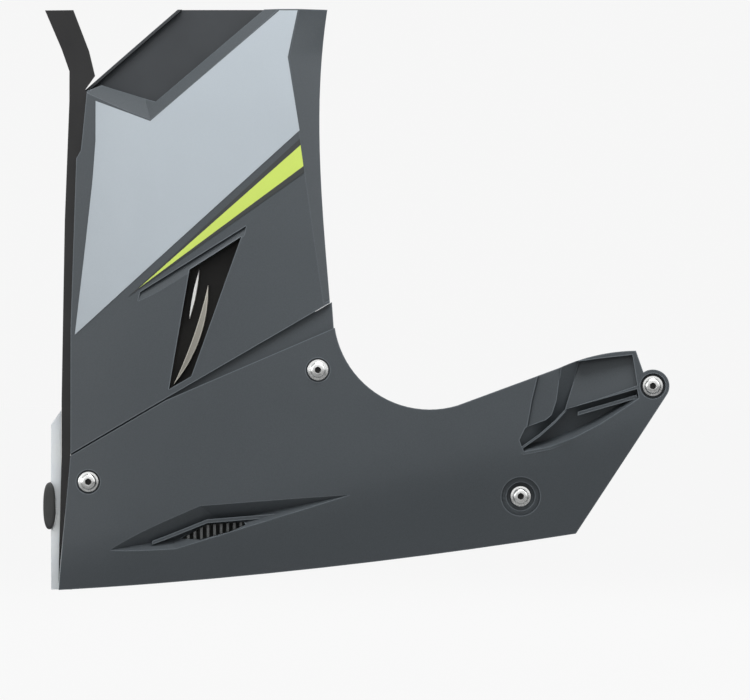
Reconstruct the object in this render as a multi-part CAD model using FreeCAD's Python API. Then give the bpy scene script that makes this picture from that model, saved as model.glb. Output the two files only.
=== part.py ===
"""Motorcycle lower fairing, left-hand side. All sizes are in millimetres.

X runs rearward, Y runs inboard and Z runs up. The origin lies on the axis of the rear screw,
on the part of its shank that leaves the fairing towards the motorcycle.
"""
import FreeCAD
import Part
import math
import os

Vector = FreeCAD.Vector
os.makedirs("parts", exist_ok=True)

# Mouldings
WALL = 2.6
COWL_FLANGE = 12.0
SIDE_FLANGE = 4.0
SEAM_GAP = 1.6
REACH = 90.0
ROOT = 0.8
OVERRUN = 1.0
FILM = 0.3
FILM_CLEAR = 0.2
SHEET = 0.8
SHEET_CLEAR = 0.3

# Outer form shared by both shells
FORM_STEP_X = 29.0
FORM_STEP_Z = 15.0
TANGENT_STEP = 4.0
COWL_FORM_X = (-545.0, 35.0)
COWL_FORM_HEIGHT = (-115.0, 185.0)
PANEL_FORM_X = (-545.0, -255.0)
PANEL_FORM_HEIGHT = (75.0, 510.0)
CREASE_Z = -31.7
CREASE_RISE = 0.235
TUCK_SLOPE = 0.21
TUCK_SOFT = 7.5
FRONT_TURN_X = -432.0
FRONT_TURN_Z = 200.0
FRONT_TURN_LEAN = 0.067
FRONT_SLOPE = 0.2
FRONT_SOFT = 14.0
LEAN_SLOPE = 0.035
LEAN_START = 60.0
LEAN_SOFT = 40.0

# Seam between the shells
SEAM_FRONT_X = -495.6
SEAM_HEIGHT = 229.75
SEAM_RISE = 0.582
STEP_DEPTH = 5.0
STEP_LAP = 2.4
STEP_LAP_END_X = -287.0
STEP_START_X = -414.0
STEP_END_X = -270.5
STEP_DROP = 22.8

# Lower cowl outline
FRONT_BOTTOM = (-506.0, -174.0)
BOTTOM_MIDDLE = (-330.0, -160.0)
BOTTOM_REAR = (-65.0, -126.0)
BOSS_RADIUS = 14.0
BOSS_JOIN_ANGLE = 125.0
REAR_CORNER = (-14.5, 30.0)
SHOULDER_MIDDLE = (-46.0, 26.5)
SHOULDER_FRONT = (-79.0, 15.5)
ARCH_REAR = (-166.0, -16.5)
ARCH_MIDDLE = (-245.5, 2.0)

# Side panel outline
TOP_Z = 321.0
PANEL_FRONT_LOW = (-495.6, 48.0)
PANEL_FRONT_HIGH = (-491.0, 194.0)
PANEL_NOTCH = (-487.0, 201.0)
PANEL_FRONT_TOP = (-482.0, 251.5)
TOP_EDGE_FRONT = (-470.0, 256.7)
TOP_EDGE_LOW = (-423.3, 242.3)
TOP_EDGE_REAR_X = -330.7
PANEL_REAR_TOP_X = -277.0
PANEL_REAR_HIGH = (-283.5, 243.0)
PANEL_REAR_LOW = (-281.4, 158.0)
PANEL_REAR_BOTTOM_X = -274.6

# Bevels of the side panel
TOP_FOLD_FRONT = (-477.0, 247.5)
TOP_FOLD_LOW = (-427.6, 227.0)
TOP_FOLD_REAR = (-318.8, 320.5)
TOP_BEVEL_SLOPE = 0.9
REAR_FOLD_TOP = (-301.0, 320.5)
REAR_FOLD_WAIST = (-309.4, 280.0)
REAR_FOLD_BOTTOM = (-280.5, 73.0)
REAR_BEVEL_SLOPE = 0.6

# Vent slot and duct
SLOT_TOP_FRONT = (-394.0, 99.0)
SLOT_TOP_REAR = (-350.0, 127.0)
SLOT_BOTTOM_REAR_X = -392.5
SLOT_BOTTOM_FRONT_X = -411.5
SLOT_SEAM_GAP = 7.0
SLOT_RIM = 6.0
DISH_TOP = ((-436.0, 79.9), (-346.0, 136.0))
DISH_LOW = ((-347.7, 127.5), (-391.0, 98.6), (-414.8, 82.5), (-437.8, 72.3))
DISH_DEPTH = 2.8
DUCT_WALL = 2.2
DUCT_DEPTH = 30.0
VANE_NEAR = 9.0
VANE_THIN = 2.6
VANE_THICK = 6.0
SMALL_VANE = ((-386.0, 99.0), (-391.5, 78.0), (-394.5, 57.0))
LARGE_VANE = ((-378.5, 86.0), (-391.0, 42.0), (-408.0, 1.0))

# Scoop in the lower cowl
SCOOP_TIP = (-461.6, -139.4)
SCOOP_TOP = (-385.0, -102.0)
SCOOP_END = (-265.0, -93.0)
SCOOP_LOW = (-406.0, -138.6)
SCOOP_LOW_FRONT = (-440.0, -140.0)
SCOOP_LOW_END = (-265.0, -95.0)
SCOOP_VALLEY_FRONT = (-412.0, -131.0)
SCOOP_VALLEY_REAR = (-342.6, -110.5)
SCOOP_DEPTH = 11.0
SCOOP_MARGIN = 8.0
SCOOP_LIP = ((-425.9, -131.8), (-416.5, -128.4), (-379.1, -113.5), (-321.3, -108.8))
SCOOP_LIP_THICK = 3.2
SCOOP_LIP_NEAR = 4.5
GRILLE_CORNERS = ((-402.0, -130.2), (-380.0, -118.0), (-348.5, -115.6), (-346.0, -118.0), (-359.6, -124.0),
                  (-385.0, -131.0))
GRILLE_GAP = 0.4
GRILLE_PLATE = 2.0
GRILLE_PLATE_CORNERS = ((-421.0, -134.0), (-411.0, -92.0), (-332.0, -72.0), (-318.0, -79.0), (-338.0, -126.0),
                        (-398.0, -144.0))
GRILLE_DEPTH = 18.5
RIB_COUNT = 10
RIB_THICK = 2.2
RIB_NEAR = 7.0

# Stepped recess at the rear: edges of its facets, and flat floors with the depth at three points
FACET_FRONT = ((-97.8, 16.0), (-102.9, -11.9))
STEP_FRONT = ((-108.5, -35.5), (-91.0, -29.0), (-85.9, -24.7), (-81.6, -11.9), (-77.5, 22.0))
STEP_NOSE = (-113.5, -46.0)
CREST = ((-111.5, -51.5), (-96.0, -40.5), (-83.3, -29.3), (-74.4, -19.8))
BLADE_FRONT = ((-68.0, 1.0), (-62.3, 21.0))
BLADE_TOP = ((-45.0, 23.5), (-17.5, 26.5))
BLADE_LOW = ((-13.2, 0.5), (-45.0, -10.5))
WEDGE_TOP = ((-45.0, -11.5), (-13.5, -2.5))
WEDGE_LOW = ((-12.0, -10.5), (-24.0, -18.7), (-45.0, -32.3), (-66.3, -43.4), (-87.6, -51.5), (-109.5, -55.8))
FACET_FLOOR = ((-103.0, -12.0, 3.4), (-79.0, 12.0, 5.5), (-88.0, -27.0, 5.0))
STEP_FLOOR = ((-79.0, 8.0, 5.0), (-110.0, -46.0, 5.0), (-70.0, 0.0, 12.0))
BLADE_FLOOR = ((-70.0, 0.0, 12.0), (-60.0, 20.0, 12.0), (-16.0, 10.0, 6.0))
WEDGE_FLOOR = ((-75.0, -21.0, 9.0), (-14.0, -3.0, 9.0), (-66.0, -43.0, 15.0))
BLADE_MIDDLE = (-45.0, 5.0)
FIN_THICK = 3.2
FIN_NEAR = 3.0
CREST_THICK = 2.4
CREST_NEAR = 2.2
CREST_PAST = 1.5
DRAFT_RUN = 2.4
DRAFT_DEPTH = 6.0
FIN_FRONT = (-63.8, -23.5)
FIN_REAR = (-13.5, -9.0)

# Air channel above the side panel
CHANNEL_DEPTH = 17.0
CHANNEL_LAP = 6.0
CHANNEL_FRONT = (-487.0, 250.0)
CHANNEL_TOP_X = -404.6
CHANNEL_WALL = 2.4
CHANNEL_LIP = 7.0
CHANNEL_TAB = 29.0

# Front strip
STRIP_WALL = 2.4
STRIP_RETURN = 42.0
STRIP_LAP_X = -479.0
STRIP_LAP_TOP = 238.0
STRIP_GAP = 1.5
STRIP_FRONT_LOW = (-503.5, -12.0)
STRIP_TAIL_Z = -60.0
STRIP_TIP = (-506.2, -168.0)
STRIP_TAIL_CLEAR = 0.3
STRIP_FRONT_MIDDLE = (-501.0, 141.0)
STRIP_FRONT_HIGH = (-497.3, 243.0)
STRIP_ELBOW = (-497.3, 268.6)
STRIP_KNEE = (-504.0, 287.5)
STRIP_TOP_FRONT_X = -518.5
STRIP_TOP_REAR_X = -494.0
STRIP_REAR_KNEE = (-480.3, 285.5)
STRIP_REAR_LOW = (-475.2, 264.5)

# Front lip and its rubber bumper
LIP_WALL = 2.4
LIP_AHEAD = 7.0
LIP_TOP_Z = -33.0
LIP_PEAK = (-504.3, -21.0)
LIP_TAIL_X = -495.0
LIP_TAB_X = -467.0
LIP_TAB_Z = (-96.0, -68.0)
LIP_RETURN = 48.0
BUMPER_AHEAD = 6.5
BUMPER_WIDTH = 10.5
BUMPER_Z = -102.5
BUMPER_LENGTH = 40.0
BUMPER_PROUD = 6.0
BUMPER_WRAP = 18.0

# Outer screws and what they pass through
SCREW_RADIUS = 3.0
SCREW_FREE = 14.0
WAIST = 0.3
WAIST_LEAD = 0.5
HEAD_RADIUS = 8.8
HEAD_RIM = 1.4
HEAD_HEIGHT = 4.6
DOME_RADIUS = 6.6
DOME_FOOT = 0.6
DOME_EDGE = 0.8
DOME_EDGE_DROP = 0.5
DOME_ROUND = 1.8
TIP_CHAMFER = 0.6
TIP_PAST_NUT = 2.0
SOCKET_FLATS = 5.0
SOCKET_DEPTH = 2.8
COLLAR_CLEAR = 0.2
COLLAR_WALL = 1.1
COLLAR_FLANGE = 1.0
COLLAR_FLANGE_RADIUS = 8.2
GROMMET_CLEAR = 0.15
GROMMET_WALL = 1.6
GROMMET_FLANGE = 1.2
GROMMET_FLANGE_RADIUS = 8.6
SEAT_CLEAR = 0.3
BORE_CLEAR = 0.3
REAR_SCREW = (0.0, 0.0)
REAR_SEAT_DEPTH = 5.0
REAR_SEAT_RADIUS = 10.8
LOWER_SCREW = (-112.2, -94.0)
LOWER_SEAT_DEPTH = 6.5
LOWER_SEAT_RADIUS = 12.0
LOWER_DISH_RADIUS = 16.5
LOWER_DISH_DEPTH = 2.5
MIDDLE_SCREW = (-284.8, 13.6)
MIDDLE_SEAT_DEPTH = 2.0
MIDDLE_SEAT_RADIUS = 10.2
FRONT_SCREW = (-480.3, -81.6)
FRONT_SEAT_DEPTH = 3.0
FRONT_SEAT_RADIUS = 10.2
FRONT_PAD = 5.4
NUT_WIDTH = 14.0
NUT_PLATE = 1.2
NUT_RADIUS = 5.0
NUT_HEIGHT = 5.0

# Inside screws and the posts they hold to
POST_RADIUS = 4.4
TAPPER_RADIUS = 1.75
TAPPER_HEAD = 3.6
TAPPER_HEAD_HEIGHT = 2.2
TAPPER_CLEAR = 0.1
TAPPER_TIP = 1.3
TAPPER_HEAD_EDGE = 0.7
TAPPER_HEAD_ROUND = 1.0
CROSS_LENGTH = 4.0
CROSS_WIDTH = 0.9
CROSS_DEPTH = 1.1
PAD_HEIGHT = 1.4
POST_CLEAR = 0.1
HOLE_CLEAR = 0.4
TAB_HALF = 8.0
TAB_REACH = 17.0
SEAM_SCREWS = (-470.0, -436.0, -318.0)
SEAM_SCREW_RISE = 9.0
CHANNEL_SCREWS = ((-452.0, 224.0), (-358.0, 266.0))
STRIP_SCREWS = ((-485.5, -8.0), (-485.0, 80.0), (-484.0, 168.0))
DUCT_SCREWS = ((-402.5, 88.0), (-353.0, 96.0))
GRILLE_SCREWS = ((-405.0, -96.0), (-326.0, -80.0))

# Bosses that take screws of the motorcycle
MOUNT_BOSSES = ((-462.0, 138.0), (-326.0, 240.0))
MOUNT_BORE_RADIUS = 3.2
MOUNT_BOSS_WALL = 3.0
MOUNT_BOSS_DEPTH = 24.0
MOUNT_BORE_LENGTH = 16.0

# Films on the side panel
FOLD_MARGIN = 1.2
FOLD_CORNER_MARGIN = 1.6
SILVER_FRONT = ((-474.5, 243.0), (-474.5, 209.0), (-477.0, 175.0), (-484.5, 107.0), (-492.0, 43.5))
SILVER_LOW_REAR = (-300.5, 217.5)
STRIPE_TIP = (-437.0, 83.3)
STRIPE_TOP_REAR = (-299.6, 205.0)
STRIPE_LOW_REAR = (-297.2, 187.0)
BORDER_TIP_X = 9.0
BORDER_TIP_Z = 7.2
BORDER_WIDTH = 5.5
BORDER_REAR = 0.6

# Sheet inside the cowl
SHIELD_FRONT_X = -246.0
SHIELD_REAR_X = -140.0
SHIELD_TOP_Z = -46.0
SHIELD_FRONT_LOW_Z = -138.0
SHIELD_REAR_LOW_Z = -124.0

# Where the outer form stands, so that the rear collar ends just outboard of the origin
ORIGIN_LEAD = 2.0
OUTER_Y = -(REAR_SEAT_DEPTH + WALL + GROMMET_FLANGE + COLLAR_FLANGE) - ORIGIN_LEAD


def save(name, shape):
    """Write one piece as a single clean solid."""
    solid = shape.removeSplitter()
    if len(solid.Solids) != 1:
        raise ValueError(name + " is not one solid but " + str(len(solid.Solids)))
    solid.Solids[0].exportStep("parts/" + name + ".step")


def flat(point):
    """A point of an outline, on the plane of the origin."""
    return Vector(point[0], 0, point[1])


def line(start, end):
    return Part.LineSegment(flat(start), flat(end)).toShape()


def arc(start, middle, end):
    return Part.Arc(flat(start), flat(middle), flat(end)).toShape()


def curve(*points):
    spline = Part.BSplineCurve()
    spline.interpolate([flat(point) for point in points])
    return spline.toShape()


def face_of(*edges):
    return Part.Face(Part.Wire(list(edges)))


def polygon(*points):
    corners = [flat(point) for point in points]
    return Part.Face(Part.makePolygon(corners + corners[:1]))


def grown(face, distance):
    """The outline moved outward, or inward for a negative distance."""
    return Part.Face(face.OuterWire.makeOffset2D(distance))


def prism(face):
    """The outline as a bar that runs through the whole fairing."""
    return face.translated(Vector(0, -REACH, 0)).extrude(Vector(0, 3 * REACH, 0))


def cylinder(centre, radius, start_y, end_y):
    base = Vector(centre[0], start_y, centre[1])
    return Part.makeCylinder(radius, end_y - start_y, base, Vector(0, 1, 0))


def ramp(distance, softness):
    """A slope of one that starts softly where the distance is zero."""
    return softness * math.log1p(math.exp(distance / softness))


def crease_z(x):
    return CREASE_Z + CREASE_RISE * x


def seam_z(x):
    return SEAM_HEIGHT + SEAM_RISE * x


def depth(x, z):
    """Where the outer form lies along Y."""
    turn_x = FRONT_TURN_X + FRONT_TURN_LEAN * (z - FRONT_TURN_Z)
    front = FRONT_SLOPE * ramp(turn_x - x, FRONT_SOFT)
    tuck = TUCK_SLOPE * ramp(crease_z(x) - z, TUCK_SOFT)
    lean = LEAN_SLOPE * ramp(z - LEAN_START, LEAN_SOFT)
    return OUTER_Y + front + tuck + lean


def on_form(point, inboard):
    return Vector(point[0], depth(point[0], point[1]) + inboard, point[1])


def make_form(span_x, span_height):
    """Part of the outer form as one smooth surface whose rows follow the crease."""
    columns = round((span_x[1] - span_x[0]) / FORM_STEP_X)
    rows = round((span_height[1] - span_height[0]) / FORM_STEP_Z)
    grid = []
    for column in range(columns + 1):
        x = span_x[0] + (span_x[1] - span_x[0]) * column / columns
        heights = [span_height[0] + (span_height[1] - span_height[0]) * row / rows for row in range(rows + 1)]
        grid.append([on_form((x, crease_z(x) + height), 0) for height in heights])
    surface = Part.BSplineSurface()
    surface.interpolate(grid)
    return surface.toShape()


COWL_FORM = make_form(COWL_FORM_X, COWL_FORM_HEIGHT)
PANEL_FORM = make_form(PANEL_FORM_X, PANEL_FORM_HEIGHT)


def layer(form, near, far):
    """The space between two depths under the outer form."""
    return form.translated(Vector(0, near, 0)).extrude(Vector(0, far - near, 0))


def sheet(form, face, near, far):
    return layer(form, near, far).common(prism(face))


def half_space(first, second, third, inboard):
    """A large block on one side of the plane through three points."""
    normal = (second - first).cross(third - first).normalize()
    if (normal.y > 0) != inboard:
        normal = -normal
    size = 12 * REACH
    block = Part.makeBox(2 * size, 2 * size, size, Vector(-size, -size, 0))
    block.Placement = FreeCAD.Placement(first, FreeCAD.Rotation(Vector(0, 0, 1), normal))
    return block


def beside(centre, near, inboard):
    """A large block on one side of the plane that touches the form at a centre, moved inboard."""
    across = (centre[0] + TANGENT_STEP, centre[1])
    above = (centre[0], centre[1] + TANGENT_STEP)
    return half_space(on_form(centre, near), on_form(across, near), on_form(above, near), inboard)


def chip(face, centre, near, far):
    """A small flat piece that lies along the form near a centre."""
    return prism(face).common(beside(centre, near, True)).common(beside(centre, far, False))


def disc(centre, radius):
    return Part.Face(Part.Wire(Part.makeCircle(radius, flat(centre), Vector(0, 1, 0))))


def post(centre, radius, near, end_y):
    """A round post that starts at one depth under the form and ends flat."""
    return cylinder(centre, radius, -REACH, end_y).common(beside(centre, near, True))


def fold(start, end, slope, away):
    """The block inboard of a bevel that tips inboard from a fold towards one side."""
    run = Vector(end[0] - start[0], 0, end[1] - start[1]).normalize()
    side = Vector(-run.z, 0, run.x)
    if side.dot(flat(away) - flat(start)) < 0:
        side = -side
    lower = on_form(start, 0)
    return half_space(lower, on_form(end, 0), lower + side * REACH + Vector(0, slope * REACH, 0), True)


def ring_of(profile, centre):
    """A round piece turned about the Y line through a centre, from radius and Y pairs."""
    corners = [Vector(centre[0] + radius, y, centre[1]) for radius, y in profile]
    turned = Part.Face(Part.makePolygon(corners + corners[:1]))
    return turned.revolve(Vector(centre[0], 0, centre[1]), Vector(0, 1, 0), 360)


def seat_y(centre, inboard):
    return depth(centre[0], centre[1]) + inboard


def tapper_seat(centre, near, sheet_wall):
    """Where the head of an inside screw sits, inboard of a sheet on a post."""
    return seat_y(centre, near + sheet_wall + PAD_HEIGHT)


def tapper_post(centre, near):
    """The post on a shell that an inside screw cuts into."""
    return chip(disc(centre, POST_RADIUS), centre, ROOT, near - POST_CLEAR)


def tapper_pilot(centre, near):
    start = seat_y(centre, TAPPER_TIP)
    return cylinder(centre, TAPPER_RADIUS + TAPPER_CLEAR, start, seat_y(centre, near + WALL))


def tapper_pad(centre, near, sheet_wall):
    """The flat pad on a held sheet under the head of an inside screw."""
    return post(centre, POST_RADIUS, near + ROOT, tapper_seat(centre, near, sheet_wall))


def tapper_hole(centre):
    return cylinder(centre, TAPPER_RADIUS + HOLE_CLEAR, -REACH, REACH)


def tapper(name, centre, near, sheet_wall):
    """An inside screw with a pan head and a cross slot."""
    seat = tapper_seat(centre, near, sheet_wall)
    tip = seat_y(centre, TAPPER_TIP + TAPPER_CLEAR)
    top = seat + TAPPER_HEAD_HEIGHT
    profile = [(0, tip), (TAPPER_RADIUS, tip), (TAPPER_RADIUS, seat), (TAPPER_HEAD, seat)]
    profile += [(TAPPER_HEAD, top - TAPPER_HEAD_EDGE), (TAPPER_HEAD - TAPPER_HEAD_ROUND, top), (0, top)]
    screw = ring_of(profile, centre)
    for length, width in ((CROSS_LENGTH, CROSS_WIDTH), (CROSS_WIDTH, CROSS_LENGTH)):
        corner = Vector(centre[0] - length / 2, top - CROSS_DEPTH, centre[1] - width / 2)
        screw = screw.cut(Part.makeBox(length, CROSS_DEPTH + OVERRUN, width, corner))
    save(name, screw)


def strip_along(points, width_x, width_z):
    """A narrow outline along a row of points, as wide as the given shift."""
    back = [(x + width_x, z + width_z) for x, z in reversed(points)]
    return polygon(*points, *back)


def joined(base, pieces):
    """A base with pieces moulded on one after another."""
    for piece in pieces:
        base = base.fuse(piece)
    return base


def trimmed(base, pieces):
    """A base with pieces taken out one after another."""
    for piece in pieces:
        base = base.cut(piece)
    return base


def pocket(outline, floors):
    """The hollow of a recess and the moulded cup round it, from an outline and flat floors."""
    hollow = prism(outline)
    cup = prism(grown(outline, WALL))
    for points in floors:
        corners = [on_form(point[:2], point[2]) for point in points]
        hollow = hollow.common(half_space(*corners, False))
        normal = (corners[1] - corners[0]).cross(corners[2] - corners[0]).normalize()
        if normal.y < 0:
            normal = -normal
        lowered = [corner + normal * WALL for corner in corners]
        cup = cup.common(half_space(*lowered, False))
    return hollow, cup


def at_depth(point, inboard):
    return (point[0], point[1], inboard)


def drafted(points, inside):
    """Steep side walls of a recess along a row of points, as floors that dip towards its inside."""
    walls = []
    for start, end in zip(points, points[1:]):
        run = (flat(end) - flat(start)).normalize()
        side = Vector(-run.z, 0, run.x)
        if side.dot(flat(inside) - flat(start)) < 0:
            side = -side
        foot = (start[0] + side.x * DRAFT_RUN, start[1] + side.z * DRAFT_RUN)
        walls.append((at_depth(start, 0), at_depth(end, 0), at_depth(foot, DRAFT_DEPTH)))
    return walls


# Outline of the lower cowl
cowl_front_top = (SEAM_FRONT_X, seam_z(SEAM_FRONT_X) - SEAM_GAP / 2)
step_start = (STEP_START_X, seam_z(STEP_START_X) - SEAM_GAP / 2)
step_end = (STEP_END_X, seam_z(STEP_END_X) - STEP_DROP)
boss_angle = math.radians(BOSS_JOIN_ANGLE)
boss_join = (BOSS_RADIUS * math.cos(boss_angle), BOSS_RADIUS * math.sin(boss_angle))
boss_side = math.asin(BOSS_RADIUS / math.hypot(BOTTOM_REAR[0], BOTTOM_REAR[1]))
rear_lean = math.atan2(-BOTTOM_REAR[1], -BOTTOM_REAR[0]) - boss_side
boss_foot = (BOSS_RADIUS * math.sin(rear_lean), -BOSS_RADIUS * math.cos(rear_lean))
boss_tip_angle = (rear_lean - math.pi / 2 + boss_angle) / 2
boss_tip = (BOSS_RADIUS * math.cos(boss_tip_angle), BOSS_RADIUS * math.sin(boss_tip_angle))
cowl_outline = face_of(
    line(cowl_front_top, step_start),
    line(step_start, step_end),
    arc(step_end, ARCH_MIDDLE, ARCH_REAR),
    line(ARCH_REAR, SHOULDER_FRONT),
    arc(SHOULDER_FRONT, SHOULDER_MIDDLE, REAR_CORNER),
    line(REAR_CORNER, boss_join),
    arc(boss_join, boss_tip, boss_foot),
    line(boss_foot, BOTTOM_REAR),
    arc(BOTTOM_REAR, BOTTOM_MIDDLE, FRONT_BOTTOM),
    line(FRONT_BOTTOM, cowl_front_top),
)

# Outline of the side panel
panel_front_bottom = (SEAM_FRONT_X, seam_z(SEAM_FRONT_X) + SEAM_GAP / 2)
panel_rear_bottom = (PANEL_REAR_BOTTOM_X, seam_z(PANEL_REAR_BOTTOM_X) + SEAM_GAP / 2)
top_edge_rear = (TOP_EDGE_REAR_X, TOP_Z)
panel_rear_top = (PANEL_REAR_TOP_X, TOP_Z)
panel_front = [panel_front_bottom, PANEL_FRONT_LOW, PANEL_FRONT_HIGH, PANEL_NOTCH, PANEL_FRONT_TOP]
panel_top = [PANEL_FRONT_TOP, TOP_EDGE_FRONT, TOP_EDGE_LOW, top_edge_rear, panel_rear_top]
panel_edges = [line(start, end) for start, end in zip(panel_front, panel_front[1:])]
panel_edges += [line(start, end) for start, end in zip(panel_top, panel_top[1:])]
panel_edges.append(curve(panel_rear_top, PANEL_REAR_HIGH, PANEL_REAR_LOW, panel_rear_bottom))
panel_edges.append(line(panel_rear_bottom, panel_front_bottom))
panel_outline = face_of(*panel_edges)
slot_bottom = [(x, seam_z(x) + SLOT_SEAM_GAP) for x in (SLOT_BOTTOM_REAR_X, SLOT_BOTTOM_FRONT_X)]
slot_outline = polygon(SLOT_TOP_FRONT, SLOT_TOP_REAR, *slot_bottom)

# Skin of the side panel, with its bevels
top_bevel = fold(TOP_FOLD_FRONT, TOP_FOLD_LOW, TOP_BEVEL_SLOPE, TOP_EDGE_LOW).fuse(
    fold(TOP_FOLD_LOW, TOP_FOLD_REAR, TOP_BEVEL_SLOPE, TOP_EDGE_LOW))
rear_bevel = fold(REAR_FOLD_TOP, REAR_FOLD_WAIST, REAR_BEVEL_SLOPE, panel_rear_top).fuse(
    fold(REAR_FOLD_WAIST, REAR_FOLD_BOTTOM, REAR_BEVEL_SLOPE, panel_rear_top))
inward = Vector(0, WALL, 0)
panel_bar = prism(panel_outline)
bevels = top_bevel.common(rear_bevel).common(panel_bar)
bevel_skin = bevels.cut(bevels.translated(inward))
panel_skin = layer(PANEL_FORM, 0, WALL).common(bevels)
panel_turns = layer(PANEL_FORM, 0, REACH).common(bevel_skin)

# Side panel
slot_rim = sheet(PANEL_FORM, grown(slot_outline, WALL), ROOT, SLOT_RIM).common(panel_bar)
front_rim = sheet(PANEL_FORM, strip_along(panel_front, WALL, 0), ROOT, SIDE_FLANGE)
seam_rim = strip_along([panel_front_bottom, panel_rear_bottom], 0, WALL)
seam_rim = sheet(PANEL_FORM, seam_rim, ROOT, SIDE_FLANGE)
seam_centres = [(x, seam_z(x) + SEAM_SCREW_RISE) for x in SEAM_SCREWS]
posts = [(centre, STEP_DEPTH) for centre in seam_centres]
posts += [(centre, CHANNEL_DEPTH) for centre in CHANNEL_SCREWS]
posts += [(centre, SIDE_FLANGE) for centre in STRIP_SCREWS]
posts += [(centre, SLOT_RIM) for centre in DUCT_SCREWS]
dish_floor = (at_depth(DISH_TOP[0], DISH_DEPTH), at_depth(DISH_TOP[1], DISH_DEPTH), at_depth(DISH_LOW[1], 0))
dish = pocket(polygon(*DISH_TOP, *DISH_LOW), [dish_floor])
dish_cup = layer(PANEL_FORM, ROOT, REACH).common(dish[1])
added = [dish_cup, panel_turns, slot_rim, front_rim.common(panel_bar), seam_rim.common(panel_bar)]
added += [tapper_post(centre, near) for centre, near in posts]
removed = [prism(slot_outline), dish[0]]
removed += [tapper_pilot(centre, near) for centre, near in posts]
for centre in MOUNT_BOSSES:
    end_y = seat_y(centre, MOUNT_BOSS_DEPTH)
    added.append(post(centre, MOUNT_BORE_RADIUS + MOUNT_BOSS_WALL, ROOT, end_y))
    removed.append(cylinder(centre, MOUNT_BORE_RADIUS, end_y - MOUNT_BORE_LENGTH, end_y + OVERRUN))
save("side_panel", panel_skin.fuse(added).cut(removed))

# Skin and flange of the lower cowl, and its stepped tongue under the side panel
cowl_bar = prism(cowl_outline)
cowl_skin = layer(COWL_FORM, 0, WALL).common(cowl_bar)
cowl_rim = cowl_bar.cut(prism(grown(cowl_outline, -WALL)))
cowl_rim = layer(COWL_FORM, ROOT, COWL_FLANGE).common(cowl_rim)
tongue_top = SEAM_GAP / 2 + STEP_LAP
tongue_rear_x = PANEL_REAR_BOTTOM_X + SEAM_GAP
tongue_outline = polygon(
    (SEAM_FRONT_X, seam_z(SEAM_FRONT_X) - SEAM_GAP - ROOT),
    (STEP_START_X, seam_z(STEP_START_X) - SEAM_GAP - ROOT),
    (step_end[0] - ROOT, step_end[1] - 2 * ROOT),
    (tongue_rear_x, seam_z(tongue_rear_x) + SEAM_GAP / 2 - SEAT_CLEAR),
    (STEP_LAP_END_X, seam_z(STEP_LAP_END_X) + SEAM_GAP / 2 - SEAT_CLEAR),
    (STEP_LAP_END_X, seam_z(STEP_LAP_END_X) + tongue_top),
    (SEAM_FRONT_X, seam_z(SEAM_FRONT_X) + tongue_top),
)
added = [cowl_rim, sheet(COWL_FORM, tongue_outline, STEP_DEPTH, STEP_DEPTH + WALL)]
removed = []
for centre in seam_centres:
    tab_foot = [(centre[0] + side, seam_z(centre[0] + side)) for side in (-TAB_HALF, TAB_HALF)]
    tab = strip_along(tab_foot, 0, TAB_REACH)
    added.append(chip(tab, centre, STEP_DEPTH, STEP_DEPTH + WALL))
    added.append(tapper_pad(centre, STEP_DEPTH, WALL))
    removed.append(tapper_hole(centre))

# Scoop of the lower cowl
scoop_rim = polygon(SCOOP_TIP, SCOOP_TOP, SCOOP_END, SCOOP_LOW_END, SCOOP_LOW, SCOOP_LOW_FRONT)
valley_front = at_depth(SCOOP_VALLEY_FRONT, SCOOP_DEPTH)
valley_rear = at_depth(SCOOP_VALLEY_REAR, SCOOP_DEPTH)
scoop_floors = [
    (at_depth(SCOOP_TIP, 0), at_depth(SCOOP_TOP, 0), valley_front),
    (at_depth(SCOOP_TOP, 0), at_depth(SCOOP_END, 0), valley_rear),
    (at_depth(SCOOP_LOW_FRONT, 0), at_depth(SCOOP_LOW, 0), valley_front),
    (at_depth(SCOOP_LOW, 0), at_depth(SCOOP_LOW_END, 0), valley_rear),
]
scoop = pocket(grown(scoop_rim, SCOOP_MARGIN), scoop_floors)

# Stepped recess at the rear, facet by facet
facet_outline = polygon(*FACET_FRONT, *STEP_FRONT)
step_outline = polygon(*reversed(STEP_FRONT), STEP_NOSE, *CREST, *BLADE_FRONT)
blade_outline = polygon(CREST[-1], *BLADE_FRONT, *BLADE_TOP, *BLADE_LOW)
wedge_outline = polygon(*CREST, *WEDGE_TOP, *WEDGE_LOW)
rear_pockets = [
    pocket(facet_outline, [FACET_FLOOR] + drafted((*FACET_FRONT, STEP_FRONT[0]), STEP_FRONT[2])),
    pocket(step_outline, [STEP_FLOOR]),
    pocket(blade_outline, [BLADE_FLOOR]),
    pocket(wedge_outline, [WEDGE_FLOOR] + drafted(WEDGE_LOW, CREST[-1])),
]
rear_core = cowl_bar.common(beside(BLADE_MIDDLE, 1.5 * ROOT, True))
added.append(layer(COWL_FORM, ROOT, REACH).common(scoop[1]))
added += [rear_core.common(cup) for hollow, cup in rear_pockets]
removed.append(scoop[0])
removed += [hollow for hollow, cup in rear_pockets]
fin_low = [(x, z - FIN_THICK / 2) for x, z in (FIN_FRONT, FIN_REAR)]
fin = strip_along(fin_low, 0, FIN_THICK)
crest_run = (flat(CREST[-1]) - flat(CREST[-2])).normalize() * CREST_PAST
crest_end = (CREST[-1][0] + crest_run.x, CREST[-1][1] + crest_run.z)
crest = strip_along([*CREST, crest_end], 0, -CREST_THICK)
scoop_lip = strip_along(SCOOP_LIP, 0, -SCOOP_LIP_THICK)

# Slot of the scoop and the posts for its insert
grille_outline = polygon(*GRILLE_CORNERS)
removed.append(prism(grille_outline))
added += [tapper_post(centre, GRILLE_DEPTH) for centre in GRILLE_SCREWS]
removed += [tapper_pilot(centre, GRILLE_DEPTH) for centre in GRILLE_SCREWS]

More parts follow.
